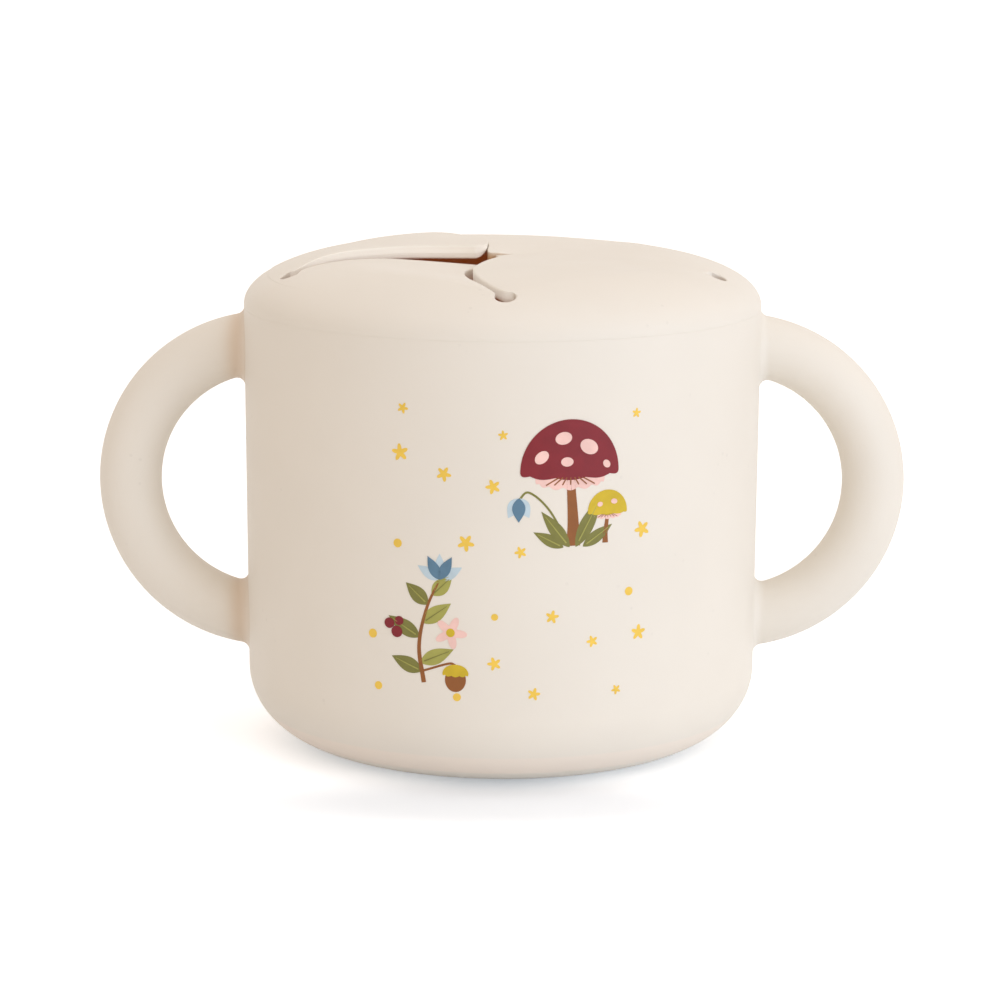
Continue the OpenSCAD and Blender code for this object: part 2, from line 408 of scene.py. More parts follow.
def cupSurface(s):
    # Turned profile: a shallow hollow, the flat foot, a quarter ellipse, the wall, the rim and the inside
    rim, top, foot = s["rimRadius"], s["rimHeight"], s["rimRadius"] - s["draft"]
    flat, edge, mouth = foot - s["roundWidth"], s["rimBreak"], s["rimRadius"] - s["wall"]
    inner, hollow, lip = foot - s["wall"], s["hollowRadius"], s["hollowLip"]
    low, bend, lead, n = s["hollowDepth"], s["roundHeight"], s["mouthLead"], s["points"]
    profile = np.vstack([
        line((s["poleGaps"][0], low), (hollow - lip, low), n["hollow"]),
        arc((hollow - lip, 0), (lip, low), 90, 0, n["lip"]),
        line((hollow, 0), (flat, 0), n["foot"]),
        arc((flat, bend), (s["roundWidth"], bend), -90, 0, n["round"]),
        line((foot, bend), (rim, top - edge), n["wall"]),
        arc((rim - edge, top - edge), (edge, edge), 0, 90, n["break"]),
        line((rim - edge, top), (mouth + lead, top), n["rim"]),
        line((mouth + lead, top), (mouth, top - lead), n["lead"]),
        line((mouth, top - lead), (mouth, top - s["mouthDepth"]), n["mouth"]),
        line((mouth, top - s["mouthDepth"]), (inner, bend), n["inner"]),
        arc((flat, bend), (s["roundWidth"] - s["wall"], bend - s["floor"]), 0, -90, n["innerRound"]),
        line((flat, s["floor"]), (s["poleGaps"][1], s["floor"]), n["floor"]),
    ])
    return loft(revolve(profile, s["columns"]), (0, 0, low), (0, 0, s["floor"]))


def insideCup(p):
    # One on the inner wall and the inner floor, where the painted warm glow shows
    wall, floor = cupShape["glowMargins"]
    within = np.hypot(p[:, 0], p[:, 1]) < wallRadius(p[:, 2]) - cupShape["wall"] + wall
    return np.where(within & (p[:, 2] > cupShape["floor"] - floor), 1.0, 0.0)


cup = makePiece("cupShell", [cupSurface(cupShape)], cupSilicone, inside=insideCup)
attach(cup, "cup")
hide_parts("cup")
print("cup made")


# Handles

handleShape = {
    "ringRadius": 23.5,
    "gripRadius": 5.25,
    "ringOut": 39.6,      # distance of the ring's middle from the cup's axis
    "ringHeight": 44.2,
    "filletOuter": 1.3,
    "filletInner": 1.9,
    "filletSide": 1.5,
    "sides": 96,
    "filletRows": 12,
    "gripRows": 150,
    "rootAngles": (50, 100),    # degrees round the ring between which it meets the wall
    "halvings": 40,
    "hiddenRows": ((1.0, 0.03), (0.4, 1.2)),    # each end in the wall: width beyond the fillet, depth
    "shade": 0.32,              # warm shade at the roots of the left handle
    "shadePlace": -44.5,
    "shadeReach": 1.8,
}


def handleSurface(s, side):
    # A ring of round section: centre (ringOut + R cos a, 0, ringHeight + R sin a), where the point at t
    # round the section stands r out from the centre line. Near the cup r grows along a quarter circle
    t = np.arange(s["sides"]) * 2 * np.pi / s["sides"]
    outer, inner = np.maximum(np.cos(t), 0) ** 2, np.maximum(-np.cos(t), 0) ** 2
    base, grip = s["filletSide"], s["gripRadius"]
    fillet = base + (s["filletOuter"] - base) * outer + (s["filletInner"] - base) * inner

    def point(a, r):
        reach = s["ringRadius"] + r * np.cos(t)
        return np.stack([s["ringOut"] + reach * np.cos(a), r * np.sin(t),
                         s["ringHeight"] + reach * np.sin(a)], axis=-1)

    def distance(a, r):
        p = point(a, r)
        return np.hypot(p[..., 0], p[..., 1]) - wallRadius(p[..., 2])

    def angleAt(r, gap, way):
        # Halving finds where the line at t comes within the gap of the wall
        near, far = (np.full_like(t, math.radians(limit)) for limit in s["rootAngles"])
        for _ in range(s["halvings"]):
            middle = (near + far) / 2
            inside = distance(way * middle, r) < gap
            far, near = np.where(inside, middle, far), np.where(inside, near, middle)
        return way * near

    turn = np.radians(np.linspace(0, 90, s["filletRows"]))[:, None]
    radii = np.vstack([grip + fillet * (1 - np.cos(turn)),
                       *(grip + fillet + wider for wider, depth in s["hiddenRows"])])
    gaps = np.vstack([fillet * (1 - np.sin(turn)), *(0 * fillet - depth for wider, depth in s["hiddenRows"])])
    rows = {way: np.stack([point(angleAt(r, g, way), r) for r, g in zip(radii, gaps)]) for way in (1, -1)}
    start, end = angleAt(grip, fillet, 1), angleAt(grip, fillet, -1)
    share = np.arange(1, s["gripRows"])[:, None] / s["gripRows"]
    middle = point(between(start, end, share), grip + 0 * share)
    grid = np.concatenate([rows[1][::-1], middle, rows[-1]])
    grid[..., 0] *= side
    return loft(grid, grid[0].mean(axis=0), grid[-1].mean(axis=0))


def rootShade(p):
    # The left handle and the cup shade each other where they join: -shade * exp(-((x - place) / reach)^2)
    s = handleShape
    return -s["shade"] * np.exp(-((p[:, 0] - s["shadePlace"]) / s["shadeReach"]) ** 2)


for name, node, side in (("handleRight", "handle_right", 1), ("handleLeft", "handle_left", -1)):
    handle = makePiece(name, [handleSurface(handleShape, side)], cupSilicone, edge=rootShade)
    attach(handle, "cup")
    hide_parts(node)
print("handles made")


# Lid

lidShape = {
    "rimRadius": cupShape["rimRadius"],
    "rimHeight": cupShape["rimHeight"],
    "edgeRise": 0.35,       # straight edge above the rim
    "edgeBreak": 0.04,
    "domeRise": 8.95,
    "domePower": 3.8,
    "sheet": 2.25,
    # The sheet is a little full at the left back and hollow at the right back: x, y, height, the reach
    # along the hinge line there and across it, and the line's turn
    "swells": ((-24, 16, 0.45, 22, 16, 18), (17, 29, -0.2, 9, 9, 0)),
    "skirtRadius": 40.75,
    "skirt": 1.6,
    "skirtDepth": 9.0,
    "footOuter": ((0, 0.6), (0.2, 0.15), (0.6, 0)),    # rounding of the skirt's foot: inwards, up
    "footInner": ((0.4, 0), (0, 0.4)),                 # outwards, up
    "ribs": 3,
    "ribOut": 0.27,
    "ribHeight": 1.2,
    "ribFlat": (0.35, 0.65),    # share of the height where a rib stands out in full
    "ribPitch": 2.4,
    "ribTop": 1.8,
    "gripBand": 39.5,       # outside this radius the columns of the ring are radial
    "holeSpread": 14.0,     # degrees of that circle served by half a hole
    "slitRadius": 36.85,    # where the slit-end holes lie
    "slitTurn": 0.6,        # degrees that the slits are turned from the front
    "slitBow": 5.75,
    "holeRadius": 1.7,
    "holeRound": 0.35,
    "hingeRound": 0.04,
    "hingeTurn": 25,        # degrees that a hinge line's far end is turned round its hole, outwards
    # One for each slit: front, right, back right, back left, left
    "slitWidth": (1.3, 0.1, 0.1, 0.1, 1.2),
    "slitRound": (0.3, 0.06, 0.06, 0.25, 0.3),      # rounding of its two edges
    "parting": (0.4, 0.0, 0.0, 0.6, 1.0),           # how clear its parting line is
    "slitShift": (-0.5, -1.7, -2.0, -2.7, -1.4),    # how far its inner end lies to the right of the axis
    "shiftReach": 15.0,
    # One for each flap: front right, right, back, back left, front left
    "tipRadius": (1.3, 0.8, 0.8, 2.2, 1.5),
    "tipShift": (-0.5, -1.85, -2.5, -2.45, -0.95),
    # Painted light and shade on its cut edges, carried by the attribute "edge":
    "tipShine": (0, 0, 0, 0.9, 0),      # light that leaves the cut edge, at most 1 on each row of its face
    "slitShine": ((0, 1.5), (0, 0), (0, 0), (1, 0), (0, 0)),      # beside its outer and inner slit
    "holeShine": ((0, 1.3), (0, 1.2), (0, 0), (1, 0), (0, 0)),    # in its outer and inner hole
    "tipShade": (0.9, 1, 1, 0, 0.9),    # shade on the cut edges near the axis
    "shadeReach": (2.2, 5.0),           # distances from the axis between which it fades
    # A point from which all of the flap's outline is in view: inwards from the middle of its hinge line,
    # and sideways
    "hearts": ((8, -11), (6.5, -4.5), (6.5, -5), (3, -7.5), (2, -9.5)),
    "flapDepth": 30,        # from the hinge line to the tip
    "tipHalf": 1,           # half of the width across which the lift changes at the tip
    "glowFrom": 0.8,        # depth in the sheet where the warm glow begins
    "glowOver": 1.4,
    "glowRadius": 42,       # it ends here, over the last millimetre
}
slitCount = 5
slitStep = 360 / slitCount


def swell(x, y):
    # Sum of height * exp(-(along / reach)^2 - (across / wide)^2) over the swells
    total = 0
    for px, py, height, reach, wide, turn in lidShape["swells"]:
        c, s = math.cos(math.radians(turn)), math.sin(math.radians(turn))
        dx, dy = x - px, y - py
        total = total + height * np.exp(-((s * dx + c * dy) / reach) ** 2 - ((c * dx - s * dy) / wide) ** 2)
    return total


def topHeight(x, y):
    # The dome's outside: height = edge + (rise + swell) * sqrt(1 - (r / rim)^power)
    r = np.hypot(x, y) / lidShape["rimRadius"]
    fall = np.sqrt(np.maximum(0, 1 - r ** lidShape["domePower"]))
    return lidShape["rimHeight"] + lidShape["edgeRise"] + (lidShape["domeRise"] + swell(x, y)) * fall


def underHeight(x, y):
    # The dome's underside: the same edge, a lower rise and a cube root, which drops into the skirt
    s = lidShape
    r = np.hypot(x, y) / (s["skirtRadius"] - s["skirt"])
    fall = np.cbrt(np.maximum(0, 1 - r ** s["domePower"]))
    return s["rimHeight"] + s["edgeRise"] + (s["domeRise"] - s["sheet"] + swell(x, y)) * fall


def unit(v):
    return v / np.linalg.norm(v)


def heading(v):
    return math.degrees(math.atan2(v[1], v[0]))


def nearCrossing(p, pRadius, q, qRadius):
    # The crossing of two circles that lies nearer the lid's middle
    d = np.linalg.norm(q - p)
    along = (d * d + pRadius ** 2 - qRadius ** 2) / (2 * d)
    across = math.sqrt(pRadius ** 2 - along ** 2)
    e = unit(q - p)
    n = np.array([-e[1], e[0]])
    return min((p + along * e + across * n, p + along * e - across * n), key=np.linalg.norm)


def slitPlan(s):
    # Each slit is an arc from its hole to the middle, with the given bow and a circle of this radius
    bow, reach = s["slitBow"], s["slitRadius"]
    radius = ((reach / 2) ** 2 + bow ** 2) / (2 * bow)
    slits = []
    for k in range(slitCount):
        a = math.radians(-90 + s["slitTurn"] + slitStep * k)
        out, side = np.array([math.cos(a), math.sin(a)]), np.array([-math.sin(a), math.cos(a)])
        slits.append({"hole": reach * out, "centre": reach / 2 * out + (radius - bow) * side,
                      "radius": radius, "width": s["slitWidth"][k],
                      "edge": (s["slitRound"][k], s["parting"][k], s["slitShift"][k])})
    return slits


slits = slitPlan(lidShape)
# Points along each stretch of an outline, points over which an edge opens, and times that it is softened
outlineCount = {"chord": 72, "hole": 10, "edge": 64, "tip": 18, "ringHole": 36, "flapRamp": 14, "ringRamp": 4,
                "softCorners": 16, "softEdges": 12}


def slitPair(k):
    # The slits at the start and at the end of flap k, going round to the left
    return slits[k % slitCount], slits[(k + 1) % slitCount]


def hingeEnds(k):
    # Ends of the hinge line of flap k, on the edge of its own hole and of the next slit's hole
    start, end = (slit["hole"] for slit in slitPair(k))
    along = unit(end - start) * lidShape["holeRadius"]
    turn = math.radians(lidShape["hingeTurn"])
    c, s = math.cos(turn), math.sin(turn)
    return start + along, end - np.array([c * along[0] - s * along[1], s * along[0] + c * along[1]])


def chordPoints(k):
    return line(*hingeEnds(k), outlineCount["chord"])


def arcBetween(centre, start, end, count, way=0):
    # Arc about a centre from one point to another, the short way, or always to the left with way 1
    a, b = heading(start - centre), heading(end - centre)
    if way:
        b = a + (b - a) % 360
    else:
        b = a + (b - a + 180) % 360 - 180
    radius = np.linalg.norm(start - centre)
    return arc(centre, (radius, radius), a, b, count)


def softened(values, free, times):
    # Each free row is averaged with its two neighbours, several times over
    for _ in range(times):
        mean = (np.roll(values, 1, axis=0) + 2 * values + np.roll(values, -1, axis=0)) / 4
        values = np.where(free[:, None], mean, values)
    return values


def flapOutline(k):
    # Round the flap to the left: hinge line, hole, outer slit, tip, inner slit, hole.
    # The other arrays hold, at each point, the edge's freedom (0 on the hinge line and 1 off it), its
    # rounding, how clear its parting line is, and its shine, or its shade where that is below zero
    s, n = lidShape, outlineCount
    near, far = slitPair(k)
    hole, blunt = s["holeRadius"], s["tipRadius"][k]
    nearRadius, farRadius = near["radius"] - near["width"] / 2, far["radius"] + far["width"] / 2
    tip = nearCrossing(near["centre"], nearRadius - blunt, far["centre"], farRadius + blunt)
    farHole = nearCrossing(far["hole"], hole, far["centre"], farRadius)
    nearHole = nearCrossing(near["hole"], hole, near["centre"], nearRadius)
    farTip = far["centre"] + farRadius * unit(tip - far["centre"])
    nearTip = near["centre"] + nearRadius * unit(tip - near["centre"])
    chord = chordPoints(k)
    hingeStart, hingeEnd = hingeEnds(k)
    parts = [
        chord,
        arcBetween(far["hole"], hingeEnd, farHole, n["hole"]),
        arcBetween(far["centre"], farHole, farTip, n["edge"]),
        arcBetween(tip, farTip, nearTip, n["tip"], way=1),
        arcBetween(near["centre"], nearTip, nearHole, n["edge"]),
        arcBetween(near["hole"], nearHole, hingeStart, n["hole"]),
    ]
    outline = np.vstack(parts)

    # Rounding, parting line, shift and shine of each part
    rolled = (s["holeRound"], 0, 0)
    (nearRound, nearParting, _), (farRound, farParting, _) = near["edge"], far["edge"]
    tipEdge = ((nearRound + farRound) / 2, (nearParting + farParting) / 2, s["tipShift"][k])
    (farSlit, nearSlit), (farShine, nearShine) = s["slitShine"][k], s["holeShine"][k]
    ends = np.array([(*rolled, 0), (*rolled, farShine), (*far["edge"], farSlit), (*tipEdge, s["tipShine"][k]),
                     (*near["edge"], nearSlit), (*rolled, nearShine)])
    edges = np.repeat(ends, [len(p) for p in parts], axis=0)

    place = np.arange(len(outline)) - len(chord)
    outline = softened(outline, place > 0, n["softCorners"])
    edges = softened(edges, np.ones(len(edges), bool), n["softEdges"])
    away = np.linalg.norm(outline, axis=1)
    first, last = s["shadeReach"]
    shade = s["tipShade"][k] * smoothStep((last - away) / (last - first))
    shine = edges[:, 3] * (1 - shade) - shade
    outline[:, 0] += smoothStep(1 - away / s["shiftReach"]) * edges[:, 2]
    toEnd = np.minimum(place, len(outline) - len(chord) - place)
    free = np.where(place > 0, smoothStep(toEnd / n["flapRamp"]), 0.0)
    return outline, free, between(s["hingeRound"], edges[:, 0], free), edges[:, 1], shine


def inwardNormals(outline):
    # Left-hand normals of a closed outline, by central differences
    d = np.roll(outline, -1, axis=0) - np.roll(outline, 1, axis=0)
    n = np.stack([-d[:, 1], d[:, 0]], axis=1)
    return n / np.linalg.norm(n, axis=1, keepdims=True)


# Rows down the upright face: the share of the way down, and how far the parting line sinks there
faceRows = ((0.05, 0), (0.3, 0), (0.59, 0), (0.62, 0), (0.65, 0.05), (0.68, 0), (0.71, 0), (0.95, 0))
roundRows = 7       # rows of the quarter rounds above and below it
# How much of the edge's shine, and of its shade, shows in each of these rows
shineRows = np.concatenate([np.linspace(0, 0.7, roundRows), (0.8, 1, 0.85, 0.75, 0.4, 0.45, 0.42, 0.2),
                            np.zeros(roundRows)])
shadeRows = np.concatenate([np.linspace(0, 0.3, roundRows), (0.4, 0.7, 0.9, 0.95, 1, 1, 1, 1),
                            np.zeros(roundRows)])


def edgeRows(outline, normals, free, rounding, parting, lift, lower):
    # Rows down a slit edge: quarter-round top, the upright face with a fine parting line, quarter-round
    # bottom. The drop of the rounds is scaled by free, so that a hinge line stays flush
    turn = np.radians(np.linspace(0, 90, roundRows))
    rows = []
    for t in turn:
        p = outline + normals * (rounding * (1 - math.sin(t)))[:, None]
        rows.append(np.column_stack([p, topHeight(*p.T) + lift(p) - rounding * free * (1 - math.cos(t))]))
    top = rows[-1][:, 2]
    bottom = underHeight(*outline.T) + lower(outline) + rounding * free
    for share, inset in faceRows:
        p = outline + normals * (inset * parting * free)[:, None]
        rows.append(np.column_stack([p, between(top, bottom, share)]))
    for t in turn[::-1]:
        p = outline + normals * (rounding * (1 - math.sin(t)))[:, None]
        rows.append(np.column_stack([p, underHeight(*p.T) + lower(p) + rounding * free * (1 - math.cos(t))]))
    return rows


def keyed(keys, x):
    # Smooth curve through (place, height) keys: cubic pieces whose slopes come from the neighbours
    px, py = np.array(keys, float).T
    slope = np.gradient(py, px)
    i = np.clip(np.searchsorted(px, x) - 1, 0, len(px) - 2)
    h = px[i + 1] - px[i]
    t = np.clip((x - px[i]) / h, 0, 1)
    return (py[i] * (1 + 2 * t) * (1 - t) ** 2 + h * slope[i] * t * (1 - t) ** 2
            + py[i + 1] * t * t * (3 - 2 * t) + h * slope[i + 1] * t * t * (t - 1))


# Each flap rests a little above or below the dome. rest: (distance from the hinge line, lift)
# along the inner slit's edge, far: the same along the outer slit's edge. tuck: the underside sweeps up
# at a place, within a reach, by a height
flapShape = {
    "front_right": {"rest": ((0, 0), (2, -0.1), (7, -0.4), (15, -0.6), (22, -1.02), (26, -1.06), (31, -1.0)),
                    "far": ((0, 0), (1.8, -0.12), (8.8, -0.45), (18.1, -0.75), (21.7, -0.84), (25.6, -0.93),
                            (29.8, -1.0), (31, -1.0))},
    "right": {"rest": ((0, 0), (4.2, -0.16), (15, -0.53), (23.6, -0.82), (26, -0.92), (28, -1.01),
                       (29.8, -1.09), (31, -1.1)),
              "far": ((0, 0), (0.9, 0.05), (3.2, 0.02), (8.8, -0.28), (18.1, -0.62), (21.7, -0.76),
                      (25.6, -0.92), (29.8, -1.07), (31, -1.1))},
    "back": {"rest": ((0, 0), (7, 0.0), (15, -0.3), (23.6, -0.66), (26, -0.81), (28, -0.96), (29.8, -1.1),
                      (31, -1.15)),
             "far": ((0, 0), (8, 0.1), (16, 0.05), (24, -0.17), (28, -0.48), (31, -0.85))},
    "back_left": {"rest": ((0, 0), (1.8, 0.08), (4.2, 0.29), (6.6, 0.44), (9, 0.54), (14, 0.5), (21, 0.23),
                           (24, 0.3), (27, 0.46), (31, 0.5)),
                  "far": ((0, 0), (1.2, 0.3), (2.5, 0.49), (4.9, 0.52), (8.8, 0.26), (13, 0.22), (17.5, 0.23),
                          (22, 0.36), (25, 0.45), (31, 0.5)),
                  "tuck": ((-2.2, 3.8), 3.4, 1.45)},
    "front_left": {"rest": ((0, 0), (2, -0.08), (8, -0.6), (16, -1.3), (24, -2.3), (31, -3.1)),
                   "far": ((0, 0), (2, -0.25), (5.4, -0.9), (8, -1.25), (16, -2.0), (24, -2.6), (31, -3.1))},
}
flapOrder = ("front_right", "right", "back", "back_left", "front_left")


def flapFrame(k):
    # The hinge line's middle, the way in from it and the way along it, to the left
    start, end = (slit["hole"] for slit in slitPair(k))
    along = unit(end - start)
    return (start + end) / 2, np.array([-along[1], along[0]]), along


def flapLift(k, settings):
    # From the keys of the one edge to those of the other, across a width that narrows towards the tip
    middle, inward, along = flapFrame(k)
    hingeHalf = lidShape["slitRadius"] * math.sin(math.radians(slitStep / 2))

    def lift(p):
        u = np.maximum((p - middle) @ inward, 0)
        half = lidShape["tipHalf"] + hingeHalf * np.maximum(0, 1 - u / lidShape["flapDepth"])
        side = smoothStep(0.5 + (p - middle) @ along / (2 * half))
        return between(keyed(settings["rest"], u), keyed(settings["far"], u), side)
    return lift


# The rings of a flap's faces, as shares of the way from its heart to its edge
flapRings = np.concatenate([(0.997, 0.99, 0.975, 0.955), np.linspace(0.93, 0.03, 34)])


def flapSurface(k, settings):
    # The outline is shrunk towards one point inside it, with the slit edge rolled over at the rim
    outline, free, rounding, parting, shine = flapOutline(k)
    normals = inwardNormals(outline)
    lift = flapLift(k, settings)
    place, reach, height = settings.get("tuck", ((0, 0), 1, 0))

    def lower(p):
        away = np.linalg.norm(p - np.array(place), axis=1)
        return lift(p) + height * smoothStep(1 - away / reach)

    edge = edgeRows(outline, normals, free, rounding, parting, lift, lower)
    middle, inward, along = flapFrame(k)
    inwards, sideways = lidShape["hearts"][k]
    heart = middle + inwards * inward + sideways * along
    ring = outline + normals * rounding[:, None]

    def rows(height, change, order):
        plan = [heart + (ring - heart) * f for f in order]
        return [np.column_stack([p, height(*p.T) + change(p)]) for p in plan]

    grid = np.stack(rows(topHeight, lift, flapRings[::-1]) + edge + rows(underHeight, lower, flapRings[::2]))
    poles = [np.array([*heart, height(*heart) + lift(heart[None])[0]]) for height in (topHeight, underHeight)]
    # Painted shine and painted shade on the cut faces, carried to the material by the attribute "edge"
    paintedShineShade = np.zeros(grid.shape[:2])
    paintedShineShade[len(flapRings):len(flapRings) + len(edge)] = (
        np.outer(shineRows, np.maximum(shine, 0)) + np.outer(shadeRows, np.minimum(shine, 0)))
    return loft(grid, *poles), np.append(paintedShineShade.ravel(), [0, 0])


def ringSurface(s):
    # From the hinge lines and holes the sheet widens to a circle, rolls over the shoulder, and comes
    # back under as the plug skirt with its sealing ribs. Rows and columns both close on themselves
    n, inner, free, angles = outlineCount, [], [], []
    spread = s["holeSpread"]
    place = np.arange(n["ringHole"])
    for k in range(slitCount):
        start, end = (slit["hole"] for slit in slitPair(k))
        inner += [chordPoints(k),
                  arcBetween(end, hingeEnds(k)[1], hingeEnds(k + 1)[0], n["ringHole"], way=1)]
        free += [np.zeros(n["chord"]), smoothStep(np.minimum(place, n["ringHole"] - place) / n["ringRamp"])]
        a = heading(start)
        angles += [a + spread + (slitStep - 2 * spread) * np.arange(n["chord"]) / n["chord"],
                   a + slitStep - spread + 2 * spread * place / n["ringHole"]]
    inner, free, angles = np.vstack(inner), np.concatenate(free), np.radians(np.concatenate(angles))
    circle = np.stack([np.cos(angles), np.sin(angles)], axis=1)
    normals = -inwardNormals(inner)
    rounding = between(s["hingeRound"], s["holeRound"], free)
    edge = edgeRows(inner, normals, free, rounding, 0 * rounding, lambda p: 0, lambda p: 0)
    ring = inner + normals * rounding[:, None]

    def widen(radius, shares, height):
        plan = [between(ring, circle * radius, f) for f in shares]
        return [np.column_stack([p, height(*p.T)]) for p in plan]

    def turned(profile):
        return [np.column_stack([circle * r, np.full(len(circle), z)]) for r, z in profile]

    skirtOut, skirtIn = s["skirtRadius"], s["skirtRadius"] - s["skirt"]
    low, rim, top = s["rimHeight"] - s["skirtDepth"], s["rimRadius"], s["rimHeight"]
    shares = np.concatenate([[0.01, 0.04], np.linspace(0.1, 0.98, 16)])
    under = 1 - (1 - np.linspace(0.02, 1, 18)) ** 3
    first = math.degrees(math.asin(s["gripBand"] / rim))
    bend = rim * np.sin(np.radians(np.linspace(first, 90, 36)))
    shoulder = np.column_stack([bend, topHeight(bend, 0 * bend)])
    ribs, out, tall = [], skirtOut + s["ribOut"], s["ribHeight"]
    for i in range(s["ribs"]):
        z = top - s["ribTop"] - s["ribPitch"] * i
        ribs += [(skirtOut, z), *((out, z - share * tall) for share in s["ribFlat"]), (skirtOut, z - tall)]
    skirt = np.vstack([
        arc((rim - s["edgeBreak"], top + s["edgeBreak"]), (s["edgeBreak"],) * 2, 0, -90, 4),
        line((rim - s["edgeBreak"], top), (skirtOut, top), 4),
        [(skirtOut, top)],
        ribs,
        [(skirtOut - x, low + z) for x, z in s["footOuter"]],
        [(skirtIn + x, low + z) for x, z in s["footInner"]],
        line((skirtIn, low + s["skirt"] / 2), (skirtIn, top + s["edgeRise"]), 8),
    ])
    grid = (widen(s["gripBand"], shares, topHeight) + turned(shoulder) + turned(skirt)
            + widen(skirtIn, under[::-1], underHeight) + edge[::-1])
    return loft(np.stack(grid), closed=True)


def insideLid(lift=lambda p: 0):
    # From zero at the outer surface to one at the underside of the sheet, which carries the painted warm glow
    s = lidShape

    def inside(p):
        depth = topHeight(p[:, 0], p[:, 1]) + lift(p[:, :2]) - p[:, 2]
        within = smoothStep(s["glowRadius"] - np.hypot(p[:, 0], p[:, 1]))
        return smoothStep((depth - s["glowFrom"]) / s["glowOver"]) * within
    return inside


ring = makePiece("lidRing", [ringSurface(lidShape)], lidSilicone, inside=insideLid())
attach(ring, "lid")
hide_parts("lid_ring")

for k, place in enumerate(flapOrder):
    words = place.split("_")
    shell, paintedShineShade = flapSurface(k, flapShape[place])
    flap = makePiece("flap" + "".join(w.capitalize() for w in words), [shell], lidSilicone,
                     inside=insideLid(flapLift(k, flapShape[place])), edge=paintedShineShade)
    middle, inward, along = flapFrame(k)
    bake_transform(flap)
    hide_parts("flap_" + place)
print("lid and flaps made")


# Printed decoration on the front: a toadstool, a leafy sprig and scattered gold blossoms

printLook = {
    "height": 0.045,          # thickness of one layer of ink
    "sunk": 0.03,             # how far a patch reaches into the wall
    "cell": 0.8,              # spacing of the points on a patch
    "veinWidth": (0.22, 0.088),
    "veinReach": (0.12, 0.86),    # of the leaf's length
    "roughness": 0.42,
    "roughnessChange": 0.05,
    "specular": 0.3,
    "toneScale": 420,         # cycles in a metre
    "toneRange": (0.35, 0.68),
    "toneShares": (0.93, 1.06),
    "dotScale": 3600,
    "dotHeight": 0.000008,    # metres
}

inkColours = {
    "Burgundy": (128, 34, 42),
    "Brown": (143, 88, 44),
    "Olive": (124, 122, 62),
    "Moss": (164, 162, 84),
    "Pink": (240, 201, 192),
    "PaleBlue": (190, 209, 219),
    "Blue": (92, 126, 150),
    "Gold": (238, 200, 84),
    "Mustard": (205, 178, 44),
}
inkShells = {name: [] for name in inkColours}


def fromScreen(colour):
    # Screen colour, 0 to 255, to the linear value that a shader takes
    c = np.array(colour) / 255
    return tuple(np.where(c <= 0.04045, c / 12.92, ((c + 0.055) / 1.055) ** 2.4))


def onWall(p, height):
    # A flat drawing wrapped on the cup: x is the length round the wall, and the point lies height above it
    r = wallRadius(p[..., 1])
    a = p[..., 0] / r
    return np.stack([(r + height) * np.sin(a), -(r + height) * np.cos(a), p[..., 1]], axis=-1)


def inkPatch(colour, outline, layer=1):
    # A filled outline: rings of points between its heart and its edge, with the edge turned into the wall
    look = printLook
    heart = outline.mean(axis=0)
    reach = np.linalg.norm(outline - heart, axis=1).max()
    count = max(2, math.ceil(reach / look["cell"]))
    shares = np.arange(1, count + 1) / count
    top = [onWall(between(heart, outline, f), layer * look["height"]) for f in shares]
    grid = np.stack(top + [onWall(outline, -look["sunk"])])
    inkShells[colour].append(loft(grid, onWall(heart, layer * look["height"]), onWall(heart, -look["sunk"])))


def inkStroke(colour, path, width, layer=1):
    # A line of ink: a flat band carried along the path, with the width given at each point
    look = printLook
    along = np.gradient(path, axis=0)
    across = np.stack([-along[:, 1], along[:, 0]], axis=1) / np.linalg.norm(along, axis=1, keepdims=True)
    half = across * (np.zeros(len(path)) + width)[:, None] / 2
    top, low = layer * look["height"], -look["sunk"]
    section = [(-1, low), (-1, top), (0, top), (1, top), (1, low), (0, low)]
    grid = np.stack([onWall(path + side * half, height) for side, height in section], axis=1)
    inkShells[colour].append(loft(grid, grid[0].mean(axis=0), grid[-1].mean(axis=0)))


def curve(points, count):
    # Smooth line through a few points, with a cubic piece between each two
    points, steps = np.array(points, float), np.arange(len(points))
    place = np.linspace(0, len(points) - 1, count)
    return np.stack([keyed(np.column_stack([steps, points[:, n]]), place) for n in (0, 1)], axis=1)


def placed(shape, at, turn=0.0):
    c, s = math.cos(math.radians(turn)), math.sin(math.radians(turn))
    return shape @ np.array([[c, s], [-s, c]]) + np.array(at)


def ellipse(a, b, count=48):
    return arc((0, 0), (a, b), 0, 360, count)


def leaf(length, width, count=32):
    # Pointed leaf from the origin along x: half width = width / 2 * sin(pi * share ^ 0.8)
    share = np.linspace(0, 1, count)
    along, side = share * length, width / 2 * np.sin(np.pi * share ** 0.8)
    return np.vstack([np.column_stack([along, -side]), np.column_stack([along, side])[-2:0:-1]])


def blossom(radius, petals, depth=0.28, count=80):
    # r = radius * (1 - depth + depth * cos(petals * angle))
    t = np.arange(count) * 2 * np.pi / count
    r = radius * (1 - depth + depth * np.cos(petals * t + np.pi / 2 * (petals % 2)))
    return np.stack([r * np.cos(t), r * np.sin(t)], axis=1)


def scallopedCap(width, rise, drop, waves, depth, count=120):
    # Half an ellipse above, and below a flat half ellipse whose edge swings in waves
    t = np.arange(count) * 2 * np.pi / count
    lower = np.sin(t) < 0
    z = np.where(lower, drop * np.sin(t), rise * np.sin(t))
    wave = depth * np.abs(np.sin(waves * t / 2))
    return np.stack([width / 2 * np.cos(t), z - np.where(lower, wave, 0)], axis=1)


def leafWithVein(at, length, width, turn, colour, vein):
    inkPatch(colour, placed(leaf(length, width), at, turn))
    along = np.linspace(*printLook["veinReach"], 12) * length
    spine = placed(np.column_stack([along, 0 * along]), at, turn)
    inkStroke(vein, spine, np.linspace(*printLook["veinWidth"], 12), layer=2)


def drawPetals(at, width, plan):
    for turn, colour, length in plan:
        inkPatch(colour, placed(leaf(length, width), at, turn), layer=2 if colour == "Blue" else 1)


